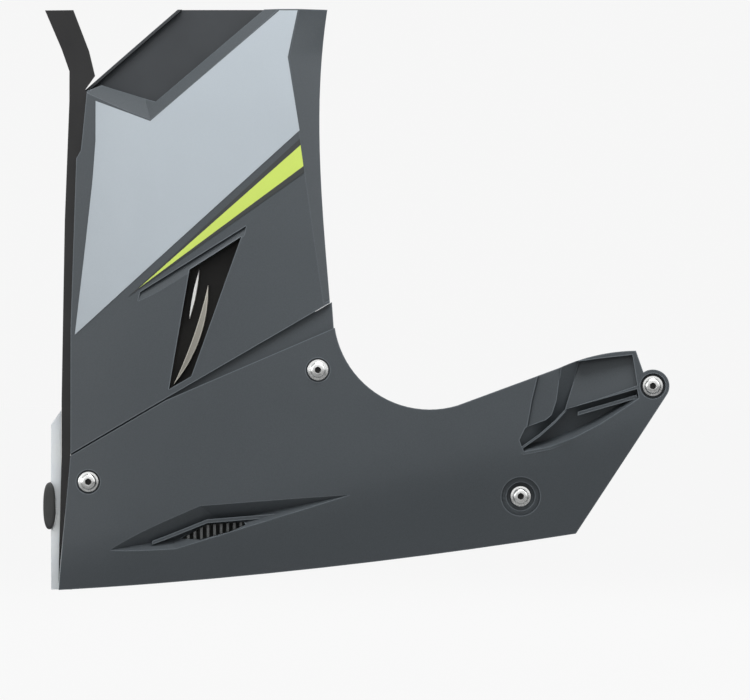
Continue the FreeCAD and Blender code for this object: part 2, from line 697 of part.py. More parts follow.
# Seats of the outer screws
lower_dish = disc(LOWER_SCREW, LOWER_DISH_RADIUS)
lower_cup = disc(LOWER_SCREW, LOWER_DISH_RADIUS + WALL)
added.append(chip(lower_cup, LOWER_SCREW, ROOT, LOWER_DISH_DEPTH + WALL))
removed.append(prism(lower_dish).common(beside(LOWER_SCREW, LOWER_DISH_DEPTH, False)))
seats = [
    (REAR_SCREW, REAR_SEAT_DEPTH, REAR_SEAT_RADIUS),
    (LOWER_SCREW, LOWER_SEAT_DEPTH, LOWER_SEAT_RADIUS),
    (MIDDLE_SCREW, MIDDLE_SEAT_DEPTH, MIDDLE_SEAT_RADIUS),
]
grommet_radius = SCREW_RADIUS + COLLAR_CLEAR + COLLAR_WALL + GROMMET_CLEAR + GROMMET_WALL
for centre, seat_depth, seat_radius in seats:
    floor = seat_y(centre, seat_depth)
    added.append(post(centre, seat_radius + WALL, ROOT, floor + WALL))
    removed.append(cylinder(centre, seat_radius, -REACH, floor))
    removed.append(cylinder(centre, grommet_radius + SEAT_CLEAR, floor - OVERRUN, floor + WALL + OVERRUN))
front_floor = seat_y(FRONT_SCREW, FRONT_SEAT_DEPTH)
front_post = disc(FRONT_SCREW, FRONT_SEAT_RADIUS + WALL)
added.append(chip(front_post, FRONT_SCREW, ROOT, COWL_FLANGE - POST_CLEAR))
removed.append(cylinder(FRONT_SCREW, FRONT_SEAT_RADIUS, -REACH, front_floor))
removed.append(cylinder(FRONT_SCREW, SCREW_RADIUS + BORE_CLEAR, -REACH, REACH))
cowl = trimmed(joined(cowl_skin, added), removed)
ridges = [chip(fin, FIN_REAR, FIN_NEAR, COWL_FLANGE), chip(crest, CREST[1], CREST_NEAR, COWL_FLANGE)]
ridges.append(chip(scoop_lip, SCOOP_LIP[2], SCOOP_LIP_NEAR, SCOOP_DEPTH + ROOT))
save("lower_cowl", joined(cowl, ridges))

# Ribbed insert of the scoop
grille_plate = polygon(*GRILLE_PLATE_CORNERS)
rib_room = prism(grown(grille_outline, -GRILLE_GAP))
rib_front_x = GRILLE_CORNERS[0][0]
rib_pitch = (GRILLE_CORNERS[3][0] - rib_front_x) / RIB_COUNT
ribs = []
for rib in range(1, RIB_COUNT):
    x = rib_front_x + rib_pitch * rib
    side = [(x, GRILLE_CORNERS[5][1]), (x, GRILLE_CORNERS[2][1])]
    bar = chip(strip_along(side, RIB_THICK, 0), side[0], RIB_NEAR, GRILLE_DEPTH + ROOT)
    ribs.append(bar.common(rib_room))
grille = sheet(COWL_FORM, grille_plate, GRILLE_DEPTH, GRILLE_DEPTH + GRILLE_PLATE)
pads = [tapper_pad(centre, GRILLE_DEPTH, GRILLE_PLATE) for centre in GRILLE_SCREWS]
save("scoop_grille", grille.fuse(ribs + pads).cut([tapper_hole(centre) for centre in GRILLE_SCREWS]))

# Air channel above the side panel
channel_outline = polygon(
    CHANNEL_FRONT, (CHANNEL_TOP_X, TOP_Z), (TOP_EDGE_REAR_X + CHANNEL_LAP, TOP_Z),
    (TOP_EDGE_LOW[0] + CHANNEL_LAP / 3, TOP_EDGE_LOW[1] - 2 * CHANNEL_LAP),
    (CHANNEL_FRONT[0], CHANNEL_FRONT[1] - CHANNEL_LAP))
channel_rim = strip_along([CHANNEL_FRONT, (CHANNEL_TOP_X, TOP_Z)], 1.5 * CHANNEL_WALL, 0)
channel_rim = sheet(PANEL_FORM, channel_rim, CHANNEL_DEPTH - CHANNEL_LIP, CHANNEL_DEPTH + CHANNEL_WALL)
added = [channel_rim.common(prism(channel_outline))]
for centre in CHANNEL_SCREWS:
    tab_foot = [(centre[0] + side, centre[1] - TAB_HALF) for side in (-TAB_HALF, TAB_HALF)]
    tab = strip_along(tab_foot, 0, CHANNEL_TAB)
    added.append(sheet(PANEL_FORM, tab, CHANNEL_DEPTH, CHANNEL_DEPTH + CHANNEL_WALL))
    added.append(tapper_pad(centre, CHANNEL_DEPTH, CHANNEL_WALL))
channel = sheet(PANEL_FORM, channel_outline, CHANNEL_DEPTH, CHANNEL_DEPTH + CHANNEL_WALL).fuse(added)
save("air_channel_panel", channel.cut([tapper_hole(centre) for centre in CHANNEL_SCREWS]))

# Front strip with its inward return
strip_bottom = seam_z(STRIP_FRONT_LOW[0] + STRIP_WALL) + tongue_top + SEAT_CLEAR
strip_bottom_front = (STRIP_FRONT_LOW[0], strip_bottom)
strip_bottom_rear = (STRIP_LAP_X, seam_z(STRIP_LAP_X) + tongue_top + SEAT_CLEAR)
strip_front = [strip_bottom_front, STRIP_FRONT_LOW, STRIP_FRONT_MIDDLE, STRIP_FRONT_HIGH, STRIP_ELBOW,
               STRIP_KNEE, (STRIP_TOP_FRONT_X, TOP_Z)]
strip_rear = [(STRIP_TOP_REAR_X, TOP_Z), STRIP_REAR_KNEE, STRIP_REAR_LOW,
              (PANEL_FRONT_TOP[0] - STRIP_GAP, PANEL_FRONT_TOP[1] + STRIP_GAP), (STRIP_LAP_X, STRIP_LAP_TOP),
              strip_bottom_rear]
strip = sheet(PANEL_FORM, polygon(*strip_front, *strip_rear), SIDE_FLANGE, SIDE_FLANGE + STRIP_WALL)
tail_x = SEAM_FRONT_X - STRIP_TAIL_CLEAR
tail_front = [(STRIP_FRONT_LOW[0], strip_bottom + STRIP_WALL), (STRIP_FRONT_LOW[0], STRIP_TAIL_Z)]
tail_top = strip_bottom + STRIP_WALL + SEAM_RISE * (tail_x - STRIP_FRONT_LOW[0])
tail_rear = [(tail_x, STRIP_TAIL_Z), (tail_x, tail_top)]
strip_tail = polygon(*tail_front, STRIP_TIP, *tail_rear)
strip_return = strip_along(strip_front, STRIP_WALL, 0)
added = [sheet(PANEL_FORM, strip_return, SIDE_FLANGE, SIDE_FLANGE + STRIP_RETURN)]
added.append(sheet(COWL_FORM, strip_tail, SIDE_FLANGE, SIDE_FLANGE + STRIP_WALL))
added += [tapper_pad(centre, SIDE_FLANGE, STRIP_WALL) for centre in STRIP_SCREWS]
save("front_inner_panel", strip.fuse(added).cut([tapper_hole(centre) for centre in STRIP_SCREWS]))

# Front lip behind the front edge of the cowl
lip_front_x = FRONT_BOTTOM[0] - LIP_AHEAD
lip_outline = polygon(
    (lip_front_x, FRONT_BOTTOM[1]), (lip_front_x, LIP_TOP_Z), LIP_PEAK, (LIP_PEAK[0], LIP_TAB_Z[1]),
    (LIP_TAB_X, LIP_TAB_Z[1]), (LIP_TAB_X, LIP_TAB_Z[0]), (LIP_TAIL_X, LIP_TAB_Z[0]),
    (LIP_TAIL_X, FRONT_BOTTOM[1]))
lip_wall = strip_along([(lip_front_x, FRONT_BOTTOM[1]), (lip_front_x, LIP_TOP_Z)], LIP_WALL, 0)
lip_pad_y = seat_y(FRONT_SCREW, COWL_FLANGE + FRONT_PAD)
added = [sheet(COWL_FORM, lip_wall, COWL_FLANGE, COWL_FLANGE + LIP_RETURN)]
added.append(post(FRONT_SCREW, FRONT_SEAT_RADIUS, COWL_FLANGE + ROOT, lip_pad_y))
lip = sheet(COWL_FORM, lip_outline, COWL_FLANGE, COWL_FLANGE + LIP_WALL).fuse(added)
save("front_lip", lip.cut(cylinder(FRONT_SCREW, SCREW_RADIUS + BORE_CLEAR, -REACH, REACH)))

# Rubber bumper on the front lip
bumper_radius = BUMPER_WIDTH / 2
bumper_front = lip_front_x - BUMPER_AHEAD
bumper_x = bumper_front + bumper_radius
bumper_rear = bumper_front + BUMPER_WIDTH
bumper_low = BUMPER_Z - BUMPER_LENGTH / 2
bumper_high = BUMPER_Z + BUMPER_LENGTH / 2
bumper_face = face_of(
    line((bumper_front, bumper_low + bumper_radius), (bumper_front, bumper_high - bumper_radius)),
    arc((bumper_front, bumper_high - bumper_radius), (bumper_x, bumper_high),
        (bumper_rear, bumper_high - bumper_radius)),
    line((bumper_rear, bumper_high - bumper_radius), (bumper_rear, bumper_low + bumper_radius)),
    arc((bumper_rear, bumper_low + bumper_radius), (bumper_x, bumper_low),
        (bumper_front, bumper_low + bumper_radius)))
bumper_y = seat_y((lip_front_x, BUMPER_Z), COWL_FLANGE)
bumper = bumper_face.translated(Vector(0, bumper_y - BUMPER_PROUD, 0))
bumper = bumper.extrude(Vector(0, BUMPER_PROUD + BUMPER_WRAP, 0))
behind = strip_along([(lip_front_x, bumper_low - OVERRUN), (lip_front_x, bumper_high + OVERRUN)],
                     BUMPER_LENGTH, 0)
save("lip_bumper", bumper.cut(sheet(COWL_FORM, behind, COWL_FLANGE, REACH)))

# Duct behind the vent slot
duct_far = SLOT_RIM + DUCT_DEPTH
duct = sheet(PANEL_FORM, grown(slot_outline, DUCT_WALL), SLOT_RIM, duct_far)
added = []
removed = [sheet(PANEL_FORM, slot_outline, SLOT_RIM - OVERRUN, duct_far - DUCT_WALL)]
for centre in DUCT_SCREWS:
    ear_near = SLOT_RIM + POST_CLEAR
    added.append(chip(disc(centre, TAB_HALF), centre, ear_near, SLOT_RIM + DUCT_WALL))
    added.append(tapper_pad(centre, SLOT_RIM, DUCT_WALL))
    removed.append(tapper_hole(centre))
save("vent_duct", duct.fuse(added).cut(removed))


def vane(start, middle, end, thick):
    """A curved blade standing on the back of the duct, thickest in its middle."""
    bulge = (middle[0] + thick, middle[1])
    outline = face_of(arc(start, middle, end), arc(end, bulge, start))
    return sheet(PANEL_FORM, outline, VANE_NEAR, duct_far - DUCT_WALL)


save("vent_vane_1", vane(*SMALL_VANE, VANE_THIN))
save("vent_vane_2", vane(*LARGE_VANE, VANE_THICK))

# Films on the side panel
silver_rear = [(TOP_FOLD_LOW[0], TOP_FOLD_LOW[1] - FOLD_CORNER_MARGIN),
               (TOP_FOLD_REAR[0] + FOLD_MARGIN, TOP_Z - FOLD_MARGIN),
               (REAR_FOLD_TOP[0] - FOLD_MARGIN, TOP_Z - FOLD_MARGIN),
               (REAR_FOLD_WAIST[0] - FOLD_MARGIN, REAR_FOLD_WAIST[1]), SILVER_LOW_REAR]
silver = polygon(*silver_rear, *reversed(SILVER_FRONT))
stripe = polygon(STRIPE_TIP, STRIPE_TOP_REAR, STRIPE_LOW_REAR)
border = polygon((STRIPE_TIP[0] - BORDER_TIP_X, STRIPE_TIP[1] - BORDER_TIP_Z),
                 (STRIPE_TOP_REAR[0] - BORDER_REAR, STRIPE_TOP_REAR[1] + BORDER_WIDTH),
                 (STRIPE_LOW_REAR[0] + BORDER_REAR, STRIPE_LOW_REAR[1] - BORDER_WIDTH))
save("silver_field", sheet(PANEL_FORM, silver, -FILM - FILM_CLEAR, -FILM_CLEAR))
save("accent_stripe", sheet(PANEL_FORM, stripe, -FILM - FILM_CLEAR, -FILM_CLEAR))
save("stripe_border", sheet(PANEL_FORM, border, -FILM - FILM_CLEAR, -FILM_CLEAR).cut(prism(stripe)))

# Sheet inside the cowl
shield = polygon((SHIELD_FRONT_X, SHIELD_FRONT_LOW_Z), (SHIELD_REAR_X, SHIELD_REAR_LOW_Z),
                 (SHIELD_REAR_X, SHIELD_TOP_Z), (SHIELD_FRONT_X, SHIELD_TOP_Z))
shield_near = WALL + SHEET_CLEAR
save("heat_shield", sheet(COWL_FORM, shield, shield_near, shield_near + SHEET))


def outer_screw(centre, under_head, waist_end, tip):
    """A screw with a wide domed head, a six-sided socket and a waisted shank."""
    top = under_head - HEAD_HEIGHT
    profile = [(0, tip), (SCREW_RADIUS - TIP_CHAMFER, tip), (SCREW_RADIUS, tip - TIP_CHAMFER)]
    profile += [(SCREW_RADIUS, waist_end)]
    profile += [(SCREW_RADIUS - WAIST, waist_end), (SCREW_RADIUS - WAIST, under_head)]
    profile += [(HEAD_RADIUS, under_head), (HEAD_RADIUS, under_head - HEAD_RIM)]
    profile += [(DOME_RADIUS, under_head - HEAD_RIM - DOME_FOOT)]
    profile += [(DOME_RADIUS - DOME_EDGE, top + DOME_EDGE_DROP), (DOME_RADIUS - DOME_ROUND, top), (0, top)]
    screw = ring_of(profile, centre)
    corner_radius = SOCKET_FLATS / 2 / math.cos(math.radians(30))
    corners = []
    for corner in range(6):
        angle = math.radians(60 * corner + 30)
        corners.append((centre[0] + corner_radius * math.cos(angle),
                        centre[1] + corner_radius * math.sin(angle)))
    socket = polygon(*corners).translated(Vector(0, top - OVERRUN, 0))
    return screw.cut(socket.extrude(Vector(0, SOCKET_DEPTH + OVERRUN, 0)))


# Outer screws in collars and grommets
fixings = [
    ("rear", REAR_SCREW, REAR_SEAT_DEPTH),
    ("lower", LOWER_SCREW, LOWER_SEAT_DEPTH),
    ("middle", MIDDLE_SCREW, MIDDLE_SEAT_DEPTH),
]
for name, centre, seat_depth in fixings:
    floor = seat_y(centre, seat_depth)
    near = floor - GROMMET_FLANGE
    far = floor + WALL + GROMMET_FLANGE
    end = far + COLLAR_FLANGE
    bore = SCREW_RADIUS + COLLAR_CLEAR
    tube = bore + COLLAR_WALL
    hole = tube + GROMMET_CLEAR
    save(name + "_screw", outer_screw(centre, near, end + WAIST_LEAD, end + SCREW_FREE))
    save(name + "_collar", ring_of([(bore, near), (tube, near), (tube, far), (COLLAR_FLANGE_RADIUS, far),
                                    (COLLAR_FLANGE_RADIUS, end), (bore, end)], centre))
    save(name + "_grommet", ring_of([
        (hole, near), (GROMMET_FLANGE_RADIUS, near), (GROMMET_FLANGE_RADIUS, floor),
        (grommet_radius, floor), (grommet_radius, floor + WALL), (GROMMET_FLANGE_RADIUS, floor + WALL),
        (GROMMET_FLANGE_RADIUS, far), (hole, far)], centre))

# Front screw and its spring nut
nut_y = lip_pad_y + NUT_PLATE
save("front_screw", outer_screw(FRONT_SCREW, front_floor, lip_pad_y, nut_y + NUT_HEIGHT + TIP_PAST_NUT))
nut_corner = Vector(FRONT_SCREW[0] - NUT_WIDTH / 2, lip_pad_y, FRONT_SCREW[1] - NUT_WIDTH / 2)
nut = Part.makeBox(NUT_WIDTH, NUT_PLATE, NUT_WIDTH, nut_corner)
nut = nut.fuse(cylinder(FRONT_SCREW, NUT_RADIUS, lip_pad_y, nut_y + NUT_HEIGHT))
save("front_clip_nut", nut.cut(cylinder(FRONT_SCREW, SCREW_RADIUS + COLLAR_CLEAR, -REACH, REACH)))

# Inside screws
inside_screws = [
    ("seam_screw", seam_centres, STEP_DEPTH, WALL),
    ("channel_screw", CHANNEL_SCREWS, CHANNEL_DEPTH, CHANNEL_WALL),
    ("strip_screw", STRIP_SCREWS, SIDE_FLANGE, STRIP_WALL),
    ("duct_screw", DUCT_SCREWS, SLOT_RIM, DUCT_WALL),
    ("grille_screw", GRILLE_SCREWS, GRILLE_DEPTH, GRILLE_PLATE),
]
for name, centres, near, sheet_wall in inside_screws:
    for number, centre in enumerate(centres, 1):
        tapper(name + "_" + str(number), centre, near, sheet_wall)
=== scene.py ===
"""Looks of the motorcycle lower fairing: finishes, softened edges, screws, light, floor and camera."""
import bmesh
import bpy
import math
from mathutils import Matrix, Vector


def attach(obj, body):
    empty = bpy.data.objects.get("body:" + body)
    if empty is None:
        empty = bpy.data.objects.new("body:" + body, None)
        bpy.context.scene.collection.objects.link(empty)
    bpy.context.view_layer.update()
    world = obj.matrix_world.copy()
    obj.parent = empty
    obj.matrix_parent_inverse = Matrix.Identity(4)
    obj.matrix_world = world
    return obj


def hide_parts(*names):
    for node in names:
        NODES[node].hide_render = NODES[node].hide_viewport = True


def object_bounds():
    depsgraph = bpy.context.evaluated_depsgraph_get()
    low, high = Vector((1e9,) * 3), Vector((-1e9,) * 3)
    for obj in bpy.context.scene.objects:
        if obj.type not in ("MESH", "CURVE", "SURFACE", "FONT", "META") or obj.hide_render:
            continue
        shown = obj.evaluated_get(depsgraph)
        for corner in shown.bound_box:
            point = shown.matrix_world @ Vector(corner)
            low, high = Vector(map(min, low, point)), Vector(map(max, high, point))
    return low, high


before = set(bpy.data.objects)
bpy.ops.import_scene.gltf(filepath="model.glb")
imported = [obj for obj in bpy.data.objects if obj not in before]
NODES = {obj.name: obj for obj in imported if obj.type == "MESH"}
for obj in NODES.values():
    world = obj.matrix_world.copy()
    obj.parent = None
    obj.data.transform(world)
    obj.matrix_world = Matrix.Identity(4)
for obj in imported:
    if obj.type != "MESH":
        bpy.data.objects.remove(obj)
cad_low, cad_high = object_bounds()
MM = 0.001

# Camera: a long lens square on to the outer face
PIXEL_MM = 0.85
VIEW_WIDTH_PIXELS = 750
VIEW_CENTRE_MM = (-236.3, 30.6)
FACE_Y_MM = -11.8
LENS_MM = 300.0
SENSOR_MM = 36.0
CLIP_END = 100.0

# Light and background
SKY_LIGHT = 0.5
GROUND_LIGHT = 0.26
BACKDROP = 0.925
FLOOR_SHADE = 0.1
FLOOR_LIT = 0.16
FLOOR_GREY = 0.3
FLOOR_DROP = 0.12
FLOOR_SIZE = 60.0

# Edges
SMOOTH_ANGLE = math.radians(32)
BEVEL_ANGLE = math.radians(12)
BEVEL_SEGMENTS = 2
FLAT_ANGLE = math.radians(0.15)
WELD = 0.00001
FASTENER_EDGE = 0.15

# Outer screws in millimetres; the dome is given as radius and drop from the top
OUTER_SCREWS = ("front_screw", "middle_screw", "lower_screw", "rear_screw")
SHANK = 3.0
WAIST = 0.3
HEAD = 8.8
HEAD_RIM = 1.4
HEAD_HEIGHT = 4.6
HEAD_EDGE = 0.3
DOME = ((4.4, 0.0), (5.0, 0.12), (5.5, 0.32), (5.9, 0.62),
        (6.2, 1.05), (6.4, 1.6), (6.6, 2.6), (6.9, 3.0))
SOCKET_FLATS = 5.0
SOCKET_DEPTH = 2.8
SOCKET_EDGE = 0.15
THREAD_PITCH = 1.0
THREAD_DEPTH = 0.55
THREAD_STEPS = 8
SCREW_STEPS = 48
TIP_CHAMFER = 0.6
ROUND_ERROR = 0.05

# Bumper in millimetres; its front edge is given as share of the full size and drop from the front
BUMPER_HALF = (5.25, 20.0)
BUMPER_POWER = 2.4
BUMPER_FRONT = ((0.45, 0.0), (0.7, 0.3), (0.86, 1.0), (0.95, 2.0), (1.0, 3.6))
BUMPER_STEPS = 120

# Surface effects: soft patches, painted shade in folds, painted highlights on outer edges, and painted
# shade on a film towards the front
PATCH_RANGE = (0.3, 0.7)
OCCLUSION_SAMPLES = 8
# Painted shade in folds and recesses: how far to look, the occlusion range and the darkness
CREASE_SHADE_REACH = 0.014
CREASE_SHADE_RANGE = (0.35, 0.95)
CREASE_SHADE_DARK = 0.95
# Painted highlight on outer edges: how far to look inside, the occlusion range and the lightness
RIM_HIGHLIGHT_REACH = 0.0009
RIM_HIGHLIGHT_RANGE = (0.84, 0.985)
RIM_HIGHLIGHT_GAIN = 2.6
INBOARD_RANGE = (0.25, 0.45)
# Painted shade on films towards the front: the X span in metres over which it fades out
FRONT_SHADE_SPAN = (-0.5, -0.42)

# Places of the colour sockets on a mix node
MIX_FIRST, MIX_SECOND, MIX_RESULT = 6, 7, 2


def tone(red, green, blue):
    """A colour written as display values from 0 to 255, in linear light by the sRGB curve."""
    linear = []
    for value in (red, green, blue):
        share = value / 255
        linear.append(share / 12.92 if share <= 0.04045 else ((share + 0.055) / 1.055) ** 2.4)
    return (*linear, 1.0)


def scaled(colour, factor):
    return (*[min(1.0, channel * factor) for channel in colour[:3]], 1.0)


# Smooth shading with sharp folds kept
def smooth_group():
    group = bpy.data.node_groups.new("smooth_by_angle", "GeometryNodeTree")
    group.interface.new_socket("Geometry", in_out="INPUT", socket_type="NodeSocketGeometry")
    group.interface.new_socket("Geometry", in_out="OUTPUT", socket_type="NodeSocketGeometry")
    start = group.nodes.new("NodeGroupInput")
    end = group.nodes.new("NodeGroupOutput")
    faces = group.nodes.new("GeometryNodeSetShadeSmooth")
    faces.domain = "FACE"
    edges = group.nodes.new("GeometryNodeSetShadeSmooth")
    edges.domain = "EDGE"
    angle = group.nodes.new("GeometryNodeInputMeshEdgeAngle")
    gentle = group.nodes.new("FunctionNodeCompare")
    gentle.data_type = "FLOAT"
    gentle.operation = "LESS_THAN"
    gentle.inputs[1].default_value = SMOOTH_ANGLE
    group.links.new(start.outputs[0], faces.inputs["Geometry"])
    group.links.new(faces.outputs[0], edges.inputs["Geometry"])
    group.links.new(angle.outputs["Unsigned Angle"], gentle.inputs[0])
    group.links.new(gentle.outputs[0], edges.inputs["Shade Smooth"])
    group.links.new(edges.outputs[0], end.inputs[0])
    return group


SMOOTH = smooth_group()


def soften(node, width):
    """Round the edges of a CAD node and shade it smoothly."""
    weld = node.modifiers.new("weld", "WELD")
    weld.merge_threshold = WELD
    flatten = node.modifiers.new("flatten", "DECIMATE")
    flatten.decimate_type = "DISSOLVE"
    flatten.angle_limit = FLAT_ANGLE
    rounding = node.modifiers.new("rounding", "BEVEL")
    rounding.width = width
    rounding.segments = BEVEL_SEGMENTS
    rounding.limit_method = "ANGLE"
    rounding.angle_limit = BEVEL_ANGLE
    shade = node.modifiers.new("shade", "NODES")
    shade.node_group = SMOOTH
    normals = node.modifiers.new("normals", "WEIGHTED_NORMAL")
    normals.keep_sharp = True


# Finishes
class Finish:
    """A material with its node tree, built up one layer at a time."""

    def __init__(self, name, **constants):
        self.material = bpy.data.materials.new(name)
        self.material.use_nodes = True
        self.tree = self.material.node_tree
        self.shader = self.tree.nodes["Principled BSDF"]
        self.place = self.node("ShaderNodeTexCoord")
        for socket, value in constants.items():
            self.shader.inputs[socket.replace("_", " ")].default_value = value

    def node(self, kind):
        return self.tree.nodes.new(kind)

    def link(self, source, target):
        self.tree.links.new(source, target)

    def noise(self, scale, detail=3.0):
        made = self.node("ShaderNodeTexNoise")
        made.inputs["Scale"].default_value = scale
        made.inputs["Detail"].default_value = detail
        self.link(self.place.outputs["Object"], made.inputs["Vector"])
        return made.outputs["Fac"]

    def cells(self, scale, output="Distance"):
        made = self.node("ShaderNodeTexVoronoi")
        made.inputs["Scale"].default_value = scale
        self.link(self.place.outputs["Object"], made.inputs["Vector"])
        return made.outputs[output]

    def along(self, coordinate, axis):
        """One axis of a texture coordinate."""
        made = self.node("ShaderNodeSeparateXYZ")
        self.link(self.place.outputs[coordinate], made.inputs[0])
        return made.outputs[axis]

    def spread(self, source, low, high, out_low, out_high):
        made = self.node("ShaderNodeMapRange")
        limits = {"From Min": low, "From Max": high, "To Min": out_low, "To Max": out_high}
        for socket, value in limits.items():
            made.inputs[socket].default_value = value
        self.link(source, made.inputs["Value"])
        return made.outputs["Result"]

    def mix(self, factor, first, second):
        made = self.node("ShaderNodeMix")
        made.data_type = "RGBA"
        self.link(factor, made.inputs["Factor"])
        for place, value in ((MIX_FIRST, first), (MIX_SECOND, second)):
            if isinstance(value, tuple):
                made.inputs[place].default_value = value
            else:
                self.link(value, made.inputs[place])
        return made.outputs[MIX_RESULT]

    def mottle(self, colour, amount, scale):
        """The colour, a little lighter and darker in soft patches."""
        patches = self.spread(self.noise(scale), *PATCH_RANGE, 0, 1)
        return self.mix(patches, scaled(colour, 1 - amount), scaled(colour, 1 + amount))

    def sparkle(self, body, glint, scale, start, share):
        """A body colour with fine flakes of a lighter colour."""
        return self.mix(self.spread(self.cells(scale, "Color"), start, 1.0, 0.0, share), body, glint)

    def painted_crease_shade(self, body, dark):
        """A body colour with painted shade in folds and recesses, from ambient occlusion."""
        made = self.node("ShaderNodeAmbientOcclusion")
        made.samples = OCCLUSION_SAMPLES
        made.inputs["Distance"].default_value = CREASE_SHADE_REACH
        return self.mix(self.spread(made.outputs["AO"], *CREASE_SHADE_RANGE, 0, 1), dark, body)

    def painted_edge_highlight(self, body, light, share):
        """A body colour with painted highlights on its outer edges."""
        made = self.node("ShaderNodeAmbientOcclusion")
        made.samples = OCCLUSION_SAMPLES
        made.inside = True
        made.inputs["Distance"].default_value = RIM_HIGHLIGHT_REACH
        return self.mix(self.spread(made.outputs["AO"], *RIM_HIGHLIGHT_RANGE, share, 0), body, light)

    def inboard(self):
        """One on surfaces that look inboard, nought on those that look outboard."""
        return self.spread(self.along("Normal", "Y"), *INBOARD_RANGE, 0, 1)

    def paint(self, colour):
        self.link(colour, self.shader.inputs["Base Color"])

    def rough(self, middle, amount, scale):
        patches = self.noise(scale, detail=5.0)
        self.link(self.spread(patches, *PATCH_RANGE, middle - amount, middle + amount),
                  self.shader.inputs["Roughness"])

    def bump(self, source, strength, distance):
        made = self.node("ShaderNodeBump")
        made.inputs["Strength"].default_value = strength
        made.inputs["Distance"].default_value = distance
        self.link(source, made.inputs["Height"])
        self.link(made.outputs["Normal"], self.shader.inputs["Normal"])


CHARCOAL = tone(73, 78, 82)
RAW_BLACK = tone(56, 57, 58)
SILVER = tone(178, 187, 194)
ACCENT = tone(200, 221, 100)
BORDER = tone(46, 49, 50)
CHANNEL = tone(59, 62, 65)
GRILLE = tone(104, 106, 106)
GLOSS = tone(24, 24, 25)
# The vane colours are painted reflections: pale and grey streaks standing for bright reflections in the
# glossy vent
VANE_HIGHLIGHT_GREY = tone(158, 155, 146)
VANE_HIGHLIGHT_PALE = tone(222, 222, 218)
DUCT = tone(46, 45, 43)
PALE = tone(242, 248, 255)
RUBBER = tone(70, 71, 71)
STEEL = tone(238, 239, 238)
ZINC = tone(168, 168, 166)
# Painted shade: dark steel for the inside of the screw sockets
SOCKET_SHADE = tone(58, 58, 58)
FOIL = tone(214, 216, 218)


def painted_shell():
    """Satin charcoal paint with fine flakes, painted shade in folds and painted highlights on edges
    outside, bare dark plastic inside.
    """
    made = Finish("charcoal_paint", Specular_IOR_Level=0.3, Coat_Weight=0.05, Coat_Roughness=0.25)
    body = made.mottle(CHARCOAL, amount=0.03, scale=9.0)
    flaked = made.sparkle(body, scaled(CHARCOAL, 2.2), scale=1800.0, start=0.2, share=0.14)
    # Painted shade: darker in folds and recesses by ambient occlusion
    flaked = made.painted_crease_shade(flaked, scaled(CHARCOAL, CREASE_SHADE_DARK))
    # Painted highlight: lighter on outer edges
    flaked = made.painted_edge_highlight(flaked, scaled(CHARCOAL, RIM_HIGHLIGHT_GAIN), share=0.6)
    bare = made.mottle(RAW_BLACK, amount=0.14, scale=26.0)
    made.paint(made.mix(made.inboard(), flaked, bare))
    made.rough(middle=0.42, amount=0.05, scale=45.0)
    made.bump(made.noise(scale=2600.0, detail=2.0), strength=0.05, distance=0.00008)
    return made.material


def film(name, colour, metal, rough, front_shade=1.0):
    """A printed film with fine sparkle and a faint orange-peel surface, with painted shade darkening it
    towards the front.
    """
    made = Finish(name, Metallic=metal, Coat_Weight=0.2, Coat_Roughness=0.18)
    body = made.mottle(colour, amount=0.02, scale=7.0)
    # Painted shade: darker towards the front, where the film turns away from the light
    rearward = made.spread(made.along("Object", "X"), *FRONT_SHADE_SPAN, 0, 1)
    body = made.mix(rearward, scaled(colour, front_shade), body)
    made.paint(made.sparkle(body, scaled(colour, 1.35), scale=2200.0, start=0.3, share=0.1))
    made.rough(middle=rough, amount=0.05, scale=40.0)
    made.bump(made.noise(scale=420.0, detail=2.0), strength=0.04, distance=0.0001)
    return made.material


def moulded(name, colour, rough, grain):
    """Textured moulded plastic."""
    made = Finish(name, Specular_IOR_Level=0.25)
    made.paint(made.mottle(colour, amount=0.08, scale=22.0))
    made.rough(middle=rough, amount=0.07, scale=60.0)
    made.bump(made.cells(scale=1500.0), strength=grain, distance=0.00015)
    return made.material


def gloss(name, colour, rough):
    """Smooth glossy plastic with a slightly wavy surface, dusty patches and painted highlights on its
    edges.
    """
    made = Finish(name, Specular_IOR_Level=0.22, Coat_Weight=0.05, Coat_Roughness=0.06)
    body = made.mottle(colour, amount=0.12, scale=14.0)
    # Painted highlight: lighter on outer edges
    made.paint(made.painted_edge_highlight(body, scaled(colour, RIM_HIGHLIGHT_GAIN), share=0.5))
    made.rough(middle=rough, amount=0.06, scale=30.0)
    made.bump(made.noise(scale=160.0, detail=2.0), strength=0.05, distance=0.0002)
    return made.material


def rubber():
    made = Finish("black_rubber", Specular_IOR_Level=0.3)
    made.paint(made.mottle(RUBBER, amount=0.2, scale=60.0))
    made.rough(middle=0.68, amount=0.1, scale=120.0)
    made.bump(made.noise(scale=1400.0, detail=4.0), strength=0.2, distance=0.0001)
    return made.material


def metal(name, colour, rough, scratch):
    """Plated steel with fine scratches and duller patches."""
    made = Finish(name, Metallic=1.0)
    made.paint(made.mottle(colour, amount=0.06, scale=180.0))
    made.rough(middle=rough, amount=0.08, scale=240.0)
    made.bump(made.noise(scale=2400.0, detail=4.0), strength=scratch, distance=0.00006)
    return made.material


def foil():
    """Crumpled heat foil."""
    made = Finish("heat_foil", Metallic=1.0)
    made.paint(made.mottle(FOIL, amount=0.06, scale=40.0))
    made.rough(middle=0.3, amount=0.1, scale=60.0)
    made.bump(made.cells(scale=95.0), strength=0.5, distance=0.0012)
    return made.material


SHELL_FINISH = painted_shell()
RUBBER_FINISH = rubber()
SCREW_FINISH = metal("screw_steel", STEEL, rough=0.24, scratch=0.12)
ZINC_FINISH = metal("zinc_steel", ZINC, rough=0.36, scratch=0.2)
# Painted shade for the inside of the screw sockets
SOCKET_SHADE_FINISH = metal("socket_painted_shade", SOCKET_SHADE, rough=0.5, scratch=0.2)

